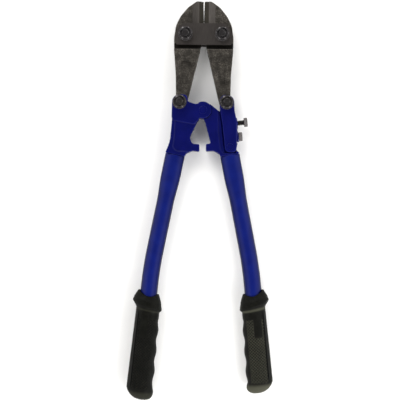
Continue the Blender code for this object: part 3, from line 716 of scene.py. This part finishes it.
def thread_radius(radius, pitch, turn, z, low):
    """Radius of a helical thread that deepens over its first turn."""
    phase = (z / pitch - turn / (2 * math.pi)) % 1.0
    depth = 0.54 * pitch * (1 - abs(2 * phase - 1) * 1.15)
    depth = min(0.54 * pitch, max(0.0, depth))
    return radius - depth * smooth_step(low, low + pitch, z)


def threaded_rod(name, radius, pitch, low, thread_from, high):
    """A round shank with a helical thread from thread_from to its far end, which is chamfered."""
    sides = 48
    step = pitch / 8
    stations = [low]
    count = max(2, math.ceil((high - thread_from) / step))
    stations += [thread_from + (high - thread_from) * i / count for i in range(count + 1)]
    bm = bmesh.new()
    rings = []
    for z in stations:
        ring = []
        for i in range(sides):
            turn = 2 * math.pi * i / sides
            r = thread_radius(radius, pitch, turn, z, thread_from)
            r = min(r, radius - 0.62 * pitch + (high - z) * 1.0 + 0.05)
            ring.append(bm.verts.new(millimetres(r * math.cos(turn), r * math.sin(turn), z)))
        rings.append(ring)
    skin(bm, rings)
    return solid(name, bm)


def make_bolt(name, node, body, centre, seat, end):
    """A hexagon-head bolt with its head at the back, and its threaded end through the nut in front."""
    low = -REAR_FACE
    top = -seat - GAP
    block = hex_prism("head", BOLT_FLATS, low, top)
    corner, start, drop = hex_sizes(BOLT_FLATS)
    keep_inside(block, turned("cone", [(start, low), (corner, low + drop), (corner, top)]))
    join(block, threaded_rod("shank", BOLT_RADIUS, BOLT_PITCH, top - 1.0, end - 11.0, end))
    block.name = name
    move(block, *centre)
    finish_piece(block, body, node, OXIDE, 30.0)


def make_nut(name, node, body, centre, seat):
    nut = hex_block("nut", BOLT_FLATS, seat, seat + NUT_HEIGHT)
    bore = BOLT_RADIUS + 0.12
    mouth = BOLT_RADIUS + 0.6
    top = seat + NUT_HEIGHT
    cut(nut, turned("bore", [(mouth, seat - 0.5), (mouth, seat), (bore, seat + 0.5), (bore, top - 0.5),
                             (mouth, top), (mouth, top + 0.5)]))
    nut.name = name
    move(nut, *centre)
    finish_piece(nut, body, node, OXIDE, 30.0)


def make_washer(name, node, body, centre, seat):
    bore, edge = BOLT_HOLE, 0.25
    top = seat + WASHER_HEIGHT
    washer = turned(name, [
        (bore, seat), (WASHER_RADIUS - edge, seat), (WASHER_RADIUS, seat + edge), (WASHER_RADIUS, top - edge),
        (WASHER_RADIUS - edge, top), (bore + edge, top), (bore, top - edge),
    ], 96, closed=True)
    move(washer, *centre)
    finish_piece(washer, body, node, OXIDE, 30.0)


def lay_along(obj, seat):
    """Turns a piece built on z so that it points out along an adjusting screw's axis from its seat."""
    direction = Vector((math.cos(SCREW_TILT), math.sin(SCREW_TILT), 0.0))
    turn = direction.to_track_quat("Z", "X").to_matrix().to_4x4()
    turn_about_origin(obj, turn)
    return move(obj, *seat)


def make_screw(name, node, body, seat, head_at, tip):
    screw = hex_block("head", SCREW_FLATS, head_at, head_at + SCREW_HEAD, both=False)
    shank = threaded_rod("shank", SCREW_RADIUS, SCREW_PITCH, -(head_at + 1.0), -(head_at - 0.4), -tip)
    turn_about_origin(shank, Matrix.Rotation(math.pi, 4, "X"))
    join(screw, shank)
    screw.name = name
    lay_along(screw, seat)
    finish_piece(screw, body, node, OXIDE, 30.0)


def make_pin(name, node, body, centre, radius):
    """A painted-over rivet end: a low dome at each face."""
    rise = [(radius * math.sin(a), CHEEK_OUTER - PIN_DOME * (1 - math.cos(a)))
            for a in [math.radians(d) for d in range(90, 4, -12)]]
    profile = [(r, -z) for r, z in reversed(rise)] + rise
    pin = turned(name, profile)
    move(pin, *centre)
    finish_piece(pin, body, node, PAINT)


# ---------------------------------------------------------------- arms and lug


def tube_axis(y):
    """Sideways place and slope of a tube's axis: straight, a long bend, then straight again."""
    x, start = TUBE_START
    top, bottom = TUBE_BEND
    if y >= top:
        return x + (start - y) * TUBE_SLOPE, TUBE_SLOPE
    at_top = x + (start - top) * TUBE_SLOPE
    fall = min(top - y, top - bottom)
    change = (GRIP_SLOPE - TUBE_SLOPE) / (top - bottom)
    across = at_top + fall * (TUBE_SLOPE + change * fall / 2)
    return across + max(0.0, bottom - y) * GRIP_SLOPE, TUBE_SLOPE + change * fall


def tube_point(along, across, out, side):
    run = Vector((TUBE_SLOPE, -1.0)).normalized()
    y = TUBE_START[1] + along * run.y
    x, slope = tube_axis(y)
    local = Vector((slope, -1.0)).normalized()
    return millimetres(side * (x - across * local.y), y + across * local.x, out)


def tube_section(along):
    share = smooth_step(24.0, 56.0, along)
    return [FLARE[i] + (TUBE_RADIUS - FLARE[i]) * share for i in (0, 1)]


def shank(side):
    """The tapered end of an arm that fits inside the mouth of its tube."""
    wall = TUBE_WALL + GAP
    wide, thick = FLARE[0] - wall, FLARE[1] - wall
    bm = bmesh.new()
    rings = []
    for along, share in ((-1.0, 1.0), (5.0, 1.0), (17.0, 0.86), (19.0, 0.76)):
        ring = []
        for i in range(48):
            turn = 2 * math.pi * i / 48
            across = wide * share * math.cos(turn)
            ring.append(bm.verts.new(tube_point(along, across, thick * share * math.sin(turn), side)))
        rings.append(ring)
    skin(bm, rings)
    return solid("shank", bm)


def arm_collar():
    run = Vector((TUBE_SLOPE, -1.0)).normalized()
    mouth = Vector(TUBE_START) - run * GAP
    square = Vector((-run.y, run.x))
    return mouth + square * FLARE[0], mouth - square * FLARE[0]


def lug_end():
    x, y = HANDLE_PIVOT
    r = LUG_END_RADIUS
    return [(x - r, y + r, r - 0.02), (x + r, y + r, r - 0.02)]


def tail_pocket():
    """Room inside the left arm for the left jaw's tail as it swings."""
    x, y = at(HANDLE_PIVOT, -1)
    disc = plate("pocket", circle((x, y), TAIL_RADIUS + 0.7), PLATE_INNER)
    sweep = [(-33.6, 1.4), (-48.0, 13.2), (-48.0, 30.0), (-8.0, 30.0), (-8.0, 12.0), (-18.0, 9.0),
             (-22.0, 4.0)]
    return join(disc, plate("sweep", sweep, PLATE_INNER))


def tongue_pocket():
    """Room inside the left arm for the right arm's tongue as it turns."""
    disc = plate("pocket", circle(CENTRE, TONGUE_RADIUS + 0.5), PLATE_INNER)
    sweep = [(-0.5, 0.0), (-9.4, 6.4), (-9.4, 20.0), (20.0, 20.0), (20.0, -20.0), (-2.4, -14.0)]
    return join(disc, plate("sweep", sweep, PLATE_INNER))


def left_cheek():
    disc = [(DISC_RADIUS * math.cos(math.radians(a)), DISC_RADIUS * math.sin(math.radians(a)))
            for a in range(296, 44, -5)]
    return mirrored(rounded([
        (9.2, 6.8, 4), (17.4, 9.3, 3), *lug_end(), (35.7, -8.6), (33.2, -12.0), (9.8, -16.1, 2),
        (5.2, -12.2, 2.5), *disc,
    ], 6.0))


def make_left_arm():
    """Walls with a raised rim, and two cheeks over the pivots with the jaw's tail and the tongue between."""
    outer, inner = arm_collar()
    body = rounded(mirrored([
        (6.6, -9.0), (35.3, -9.0), (35.4, -14.0, 30), (37.4, -36.0, 30),
        tuple(outer), tuple(inner), (18.6, -49.4, 5), (11.6, -46.6, 6), (STOP_X, -47.4, 1.3),
        (STOP_X, -39.0, 1.3), (12.6, -38.4, 4.5), (14.8, -31.0, 5), (6.6, -14.0),
    ]), 6.0)
    arm = plate("arm", body, RIM_OUTER)
    panel = rounded(mirrored([
        (31.8, -10.2), (32.6, -30.0, 30), (34.4, -43.5, 5), (29.5, -47.4, 5), (17.0, -47.8), (12.0, -56.0),
        (-5.0, -56.0), (-5.0, -10.2),
    ]), 8.0)
    cut(arm, *[prism("panel", panel, *between(face, PANEL_OUTER, THROUGH)) for face in (1, -1)])
    join(arm, plate("cheek", left_cheek(), CHEEK_OUTER), shank(-1))
    cut(arm, tail_pocket(), tongue_pocket())
    forge(arm)
    cut(arm, hole(at(HANDLE_PIVOT, -1), BOLT_HOLE), hole(CENTRE, PIN_RADIUS + 0.1))
    arm.name = "left_arm_forging"
    finish_piece(arm, "left_handle", "left_arm", PAINT, 50.0)


def make_right_arm():
    """A core between the lug's plates, its tongue at the centre pivot, and a thicker wing with a ridge."""
    outer, inner = arm_collar()
    lower = [(19.6, -50.0, 4), (12.7, -46.4, 6), (STOP_X, -47.0, 1.3), (STOP_X, -38.6, 1.3),
             (9.4, -38.5, 2.5), (2.6, -13.2, 2), (0.6, -9.5)]
    core = rounded([
        (4.8, 8.0), (8.8, 6.2), (17.0, -0.3, 2), (CORE_EDGE_X, -4.0, 2), (CORE_EDGE_X, -36.3),
        (40.0, -36.3, 1.5), (38.6, -45.0, 1), tuple(outer), tuple(inner), *lower,
    ], 6.0)
    arm = plate("arm", core, BLADE)
    join(arm, plate("tongue", circle(CENTRE, TONGUE_RADIUS), BLADE))
    wing = rounded([
        (5.0, 8.2), (8.8, 6.2), (17.0, -0.3, 2), (17.4, -25.0, 30), (19.9, -44.0, 8), (23.0, -48.9, 3),
        (38.5, -48.9), (38.6, -45.4, 1), tuple(outer), tuple(inner), *lower,
    ], 6.0)
    join(arm, plate("wing", wing, PANEL_OUTER))
    ridge = rounded([
        (14.0, 0.0), (18.2, -1.2, 1), (20.6, -14.5, 30), (23.6, -40.0, 10), (25.2, -50.0), (14.0, -46.0),
    ], 6.0)
    join(arm, plate("ridge", ridge, RIDGE_OUTER), shank(1))
    for face in (-1, 1):
        cut(arm, prism("recess", circle(CENTRE, DISC_RADIUS + 0.5), *between(face, BLADE, THROUGH)))
    forge(arm)
    cut(arm, hole(CENTRE, PIN_RADIUS + GAP), hole(LUG_PIVOT, LUG_PIN_RADIUS + GAP))
    cut(arm, lay_along(rod("bore", CENTRE, SCREW_HOLE, -26.0, -6.0), LOCKING_SCREW_AT))
    arm.name = "right_arm_forging"
    finish_piece(arm, "right_handle", "right_arm", PAINT, 50.0)


def make_lug():
    """Two plates either side of the right arm, joined by a web outside it."""
    outline = rounded([
        (19.3, 2.0, 20), (22.4, -15.9, 60), (24.9, -37.0, 20), (25.8, -47.8, 5.5),
        (37.2, -47.9, 5.5), (38.6, -42.0, 4), (38.6, -22.0, 10), (37.8, -9.0, 10), (35.7, 1.0, 20),
        *lug_end()[::-1],
    ], 6.0)
    lug = plate("lug", outline, CHEEK_OUTER)
    skirt = rounded([(32.0, -4.0), (36.4, -4.0, 3), (39.2, -20.0, 4), (41.0, -34.0, 2), (40.0, -35.6, 1),
                     (32.0, -35.6)], 6.0)
    join(lug, plate("skirt", skirt, RIDGE_OUTER))
    for seat in (ADJUSTING_SCREW_AT, LOCKING_SCREW_AT):
        join(lug, lay_along(rod("boss", CENTRE, BOSS_RADIUS, -8.0, 0.0, 48), seat))
    slot = [(5, 40), (60, 40), (60, -3.2), (WEB_X, -3.2), (WEB_X, -35.7), (60, -35.7), (60, -70), (5, -70)]
    cut(lug, plate("slot", slot, PLATE_INNER))
    forge(lug, 0.45, 5)
    cut(lug, hole(HANDLE_PIVOT, BOLT_HOLE), hole(LUG_PIVOT, LUG_PIN_RADIUS + 0.1))
    cut(lug, lay_along(rod("bore", CENTRE, SCREW_RADIUS + 0.15, -14.0, 4.0), ADJUSTING_SCREW_AT))
    cut(lug, lay_along(rod("bore", CENTRE, SCREW_HOLE, -16.0, 4.0), LOCKING_SCREW_AT))
    lug.name = "lug_forging"
    finish_piece(lug, "lug", "adjusting_lug", PAINT, 50.0)


# ---------------------------------------------------------------- handles


def make_tube(side):
    """A pipe skinned down its outside, round the far end and back up its inside."""
    run = Vector((TUBE_SLOPE, -1.0)).normalized()
    length = (TUBE_START[1] - TUBE_END) / -run.y - 2.0
    stations = [8.0 + TUBE_STEP * i for i in range(math.ceil((length - 10.0) / TUBE_STEP))]
    mouth = [(0.55, 0.0), (0.2, 0.12), (0.0, 0.45), (0.0, 1.5)]
    path = mouth + [(0.0, along) for along in stations] + [(0.0, length)]
    path += [(TUBE_WALL, along) for along in [length] + stations[::-1] + [1.5]] + [(TUBE_WALL - 0.35, 0.0)]
    bm = bmesh.new()
    rings = []
    for inset, along in path:
        wide, thick = [half - inset for half in tube_section(along)]
        ring = []
        for i in range(TUBE_SIDES):
            turn = 2 * math.pi * i / TUBE_SIDES
            ring.append(bm.verts.new(tube_point(along, wide * math.cos(turn), thick * math.sin(turn), side)))
        rings.append(ring)
    skin(bm, rings, closed=True)
    label = LABELS[side]
    tube = solid(f"{label}_handle_tube", bm)
    finish_piece(tube, f"{label}_handle", f"{label}_tube", TUBE_PAINT, 60.0)


def knurl(depth, across):
    """Height of the grip's raised net of diamonds, from 0 in the hollows to 1 on the ribs."""
    ribs = []
    for family in (depth + across, depth - across):
        phase = (family / KNURL_PITCH) % 1.0
        ribs.append(abs(2 * phase - 1) ** 2.2)
    return max(ribs)


def collar_profile(depth, widest, below):
    """How far the collar stands out of the body: it widens from the mouth, then drops back."""
    if depth < widest:
        return (depth / widest) ** 0.85
    return 1 - smooth_step(0.0, below, depth - widest)


def grip_halves(depth, left, y):
    """Half width inwards, half width outwards and half thickness, before the pattern."""
    flare_in, flare_out, flare_face = COLLAR_FLARE
    body = GRIP_HALF_WIDTH + GRIP_WIDENING * min(1.0, depth / 100.0)
    swell = FINGER_SWELL * math.cos(2 * math.pi * (y - FINGER_FIRST) / FINGER_PITCH)
    swell *= smooth_step(26.0, 34.0, depth) * smooth_step(4.0, 14.0, left)
    inward = body + swell + flare_in * collar_profile(depth, 16.9, 4.5)
    outward = body + flare_out * collar_profile(depth, 12.4, 7.5)
    thick = GRIP_HALF_DEPTH + flare_face * collar_profile(depth, 15.0, 5.0)
    mouth = min(1.0, 0.91 + 0.09 * depth / 8.0)
    nose = 1 - min(1.0, left / GRIP_NOSE)
    share = mouth * max(0.02, (1 - nose ** 2.4) ** (1 / 2.4))
    return inward * share, outward * share, thick * share


def grip_relief(depth, across, left, highlight):
    """Relief in millimetres on a grip's flat faces, and its painted light and shade, from -1 (painted shade)
    to 1 (painted highlight).
    """
    panel = smooth_step(30.0, 31.0, depth) * smooth_step(12.0, 14.0, left)
    panel *= smooth_step(9.8, 9.2, abs(across + 0.6))
    thumb = smooth_step(21.0, 22.5, depth) * smooth_step(52.0, 50.5, depth)
    thumb *= smooth_step(-2.4, -1.6, across) * smooth_step(7.4, 6.6, across)
    groove = math.exp(-((across - 10.4) / 0.8) ** 2)
    groove *= smooth_step(22.0, 27.0, depth) * smooth_step(12.0, 20.0, left)
    ledge = math.exp(-((depth - 20.0) / 1.8) ** 2)
    net = panel * (1 - thumb)
    rib = knurl(depth, across)
    relief = KNURL_DEPTH * net * (rib - 1) + 0.3 * thumb + 0.45 * ledge - 1.1 * groove
    end = smooth_step(14.0, 7.0, left)
    # painted highlight on ribs, collar ledge and end; painted shade in hollows and the groove
    light_and_shade = net * (highlight * rib - 0.8 * (1 - rib)) + (0.5 * ledge + 0.6 * end) * highlight - groove
    return relief, light_and_shade


def mouth_dip(depth, turn):
    """The collar's rim runs lower on the front and rear faces than at the sides."""
    return MOUTH_DIP * math.sin(turn) ** 2 * smooth_step(14.0, 0.0, depth)


def grip_point(y, across, out, slant, side):
    """A point of a grip's ring, which runs round the tube's axis and leans along it."""
    height = y + slant * across
    x, slope = tube_axis(height)
    local = Vector((slope, -1.0)).normalized()
    return millimetres(side * (x - across * local.y), height + across * local.x, out)


def grip_outline(y, depth, left, side):
    """Places round a grip's section, each with its painted light and shade."""
    inward, outward, thick = grip_halves(depth, left, y)
    offset = GRIP_OFFSET * min(1.0, depth / 18.0) - 4.5 * max(0.0, 1 - left / GRIP_NOSE)
    slant = GRIP_SLANT * min(1.0, max(0.0, (34.0 - depth) / 18.0))
    places = []
    for i in range(GRIP_SIDES):
        turn = 2 * math.pi * i / GRIP_SIDES
        c, s = math.cos(turn), math.sin(turn)
        square = (abs(c) ** 2.3 + abs(s) ** 2.3) ** (-1 / 2.3)
        across = c * square * (outward if c > 0 else inward)
        relief, light_and_shade = grip_relief(depth, across, left, GRIP_HIGHLIGHT[side])
        flat = smooth_step(0.15, 0.4, abs(s))
        out = s * square * thick + math.copysign(relief * flat, s)
        place = grip_point(y - mouth_dip(depth, turn), across + offset, out, slant, side)
        places.append((place, light_and_shade * flat))
    return places


def grip_depths(length):
    """Even steps down the sleeve, then closer ones round its end."""
    straight = length - GRIP_NOSE
    count = round(straight / GRIP_STEP)
    nose = [GRIP_NOSE * math.sin(math.pi / 2 * i / NOSE_STEPS) for i in range(1, NOSE_STEPS + 1)]
    return [straight * i / count for i in range(count + 1)] + [straight + run for run in nose]


def grip_bore(bm, top, side):
    """Rings of the blind bore that the tube sits in, from its bottom up to the rounded lip."""
    fit = TUBE_RADIUS + 0.15
    lip = TUBE_RADIUS + 0.6
    rings = []
    for bore, y, slant in ((fit, TUBE_END - 1.0, 0.0), (fit, top - 0.3, GRIP_SLANT),
                           (lip, top + 0.25, GRIP_SLANT)):
        ring = []
        for i in range(GRIP_SIDES):
            turn = 2 * math.pi * i / GRIP_SIDES
            dip = mouth_dip(top - y, turn)
            place = grip_point(y - dip, bore * math.cos(turn), bore * math.sin(turn), slant, side)
            ring.append(bm.verts.new(place))
        rings.append(ring)
    return rings


def make_grip(side):
    label = LABELS[side]
    top, end = GRIP_TOP[side], GRIP_END[side] + 0.8
    length = top - end
    bm = bmesh.new()
    light_and_shade = bm.verts.layers.float.new(LIGHT_AND_SHADE)
    rings = grip_bore(bm, top, side)
    for depth in grip_depths(length):
        ring = []
        for place, share in grip_outline(top - depth, depth, length - depth, side):
            ring.append(bm.verts.new(place))
            ring[-1][light_and_shade] = share
        rings.append(ring)
    skin(bm, rings)
    grip = solid(f"{label}_grip_sleeve", bm)
    finish_piece(grip, f"{label}_handle", f"{label}_grip", GRIP, 60.0)


# ---------------------------------------------------------------- the tool


def make_joint_bolt(name, body, where, face, end):
    """A pivot's bolt from the rear, with a washer and a nut on the front face."""
    make_bolt(f"{name}_hex_bolt", f"{name}_bolt", body, where, face, end)
    make_washer(f"{name}_flat_washer", f"{name}_washer", body, where, face + GAP)
    make_nut(f"{name}_hex_nut", f"{name}_nut", body, where, face + GAP + WASHER_HEIGHT + GAP)


def make_fasteners():
    jaw_end = node_span("left_jaw_bolt", 2)[1]
    for side, label in LABELS.items():
        make_joint_bolt(f"{label}_jaw", "straps", at(JAW_PIVOT, side), STRAP_OUTER, jaw_end)
    handle_end = node_span("left_handle_bolt", 2)[1]
    for side, body in ((-1, "left_handle"), (1, "lug")):
        where = at(HANDLE_PIVOT, side)
        make_joint_bolt(f"{LABELS[side]}_handle", body, where, CHEEK_OUTER, handle_end)
    make_screw("adjusting_hex_screw", "adjusting_screw", "adjusting_screw", ADJUSTING_SCREW_AT, 7.4, -9.6)
    make_screw("locking_hex_screw", "locking_screw", "locking_screw", LOCKING_SCREW_AT, GAP, -22.0)
    make_pin("centre_rivet", "centre_pin", "left_handle", CENTRE, PIN_RADIUS)
    make_pin("lug_rivet", "lug_pin", "right_handle", LUG_PIVOT, LUG_PIN_RADIUS)


def make_tool():
    for side in (-1, 1):
        make_jaw(side)
        make_tube(side)
        make_grip(side)
    make_strap(1, "front")
    make_strap(-1, "rear")
    make_left_arm()
    make_right_arm()
    make_lug()
    make_fasteners()


# ---------------------------------------------------------------- stage


FLOOR_HALF = 3.0               # metres
DOME_SIDE = 2.0                # strength of the dome at the sides
DOME_TOP = 0.15                # and straight overhead
VIEW_WIDTH = 458.0             # millimetres that the picture covers in the tool's middle plane
VIEW_CENTRE = (-2.3, -102.5)
VIEW_ROLL = math.radians(0.63)


def make_floor():
    bm = bmesh.new()
    bmesh.ops.create_grid(bm, x_segments=8, y_segments=8, size=FLOOR_HALF)
    floor = solid("floor", bm, [pale_paper()])


def area_light(name, place, size, power, target=(0.0, 0.0, 0.0)):
    data = bpy.data.lights.new(name, "AREA")
    data.shape = "DISK"
    data.size = size
    data.energy = power
    light = bpy.data.objects.new(name, data)
    light.location = place
    light.rotation_euler = (Vector(target) - Vector(place)).to_track_quat("-Z", "Y").to_euler()
    bpy.context.scene.collection.objects.link(light)


def make_light():
    """A soft dome, dim straight overhead, with a key light beyond the jaws and a small one by a grip."""
    world = bpy.data.worlds.new("studio")
    world.use_nodes = True
    tree = world.node_tree
    direction = tree.nodes.new("ShaderNodeTexCoord").outputs["Generated"]
    parts = tree.nodes.new("ShaderNodeSeparateXYZ")
    fade = tree.nodes.new("ShaderNodeMapRange")
    fade.interpolation_type = "SMOOTHSTEP"
    ends = {"From Min": 0.6, "From Max": 0.95, "To Min": DOME_SIDE, "To Max": DOME_TOP}
    for socket, value in ends.items():
        fade.inputs[socket].default_value = value
    tree.links.new(direction, parts.inputs["Vector"])
    tree.links.new(parts.outputs["Z"], fade.inputs["Value"])
    tree.links.new(fade.outputs["Result"], tree.nodes["Background"].inputs["Strength"])
    tree.nodes["Background"].inputs["Color"].default_value = (1.0, 1.0, 1.0, 1.0)
    bpy.context.scene.world = world
    area_light("key", (-0.35, 0.8, 0.9), 0.6, 4.0)
    area_light("low_right", (0.32, -0.42, 0.4), 0.3, 1.5, (0.05, -0.16, 0.0))


def make_camera():
    data = bpy.data.cameras.new("camera")
    data.lens = 95.0
    data.sensor_width = 36.0
    camera = bpy.data.objects.new("camera", data)
    bpy.context.scene.collection.objects.link(camera)
    distance = VIEW_WIDTH * MM * data.lens / data.sensor_width
    camera.location = millimetres(*VIEW_CENTRE) + Vector((0.0, 0.0, distance))
    camera.rotation_euler = (0.0, 0.0, VIEW_ROLL)
    bpy.context.scene.camera = camera


make_tool()
make_floor()
make_light()
make_camera()
bpy.context.scene.view_settings.view_transform = "Standard"
